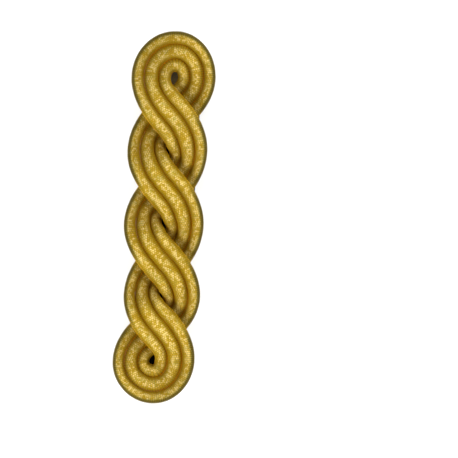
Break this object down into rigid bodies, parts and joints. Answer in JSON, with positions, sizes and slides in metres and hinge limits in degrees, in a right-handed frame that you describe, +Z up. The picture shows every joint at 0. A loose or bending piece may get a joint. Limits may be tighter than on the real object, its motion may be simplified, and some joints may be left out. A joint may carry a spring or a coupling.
{
  "type": "twisted shoulder cord",
  "caption": "Flat shoulder cord: a strand of gold cords twisted into a chain of loops, sewn on a leather backing with a buttoning strap, keeper and brass eyelet.",
  "frame": {"origin": "middle of the underside, on the surface that the part lies on", "axes": "+Y along the knot towards the eyelet end, +Z up through the cords"},
  "size_m": [0.0321, 0.1398, 0.0149],
  "materials": {
    "gold_cord": "gilt thread wound and plaited over a soft core, satin sheen",
    "black_leather": "smooth, lightly creased",
    "worn_leather": "rubbed and dull",
    "brass": "polished, lightly tarnished"
  },
  "bodies": {
    "root": {"outer_cord": "gold_cord", "middle_cord": "gold_cord", "inner_cord": "gold_cord", "leather_backing": "black_leather", "leather_strap": "black_leather", "strap_keeper": "worn_leather", "strap_eyelet": "brass"}
  },
  "joints": []
}
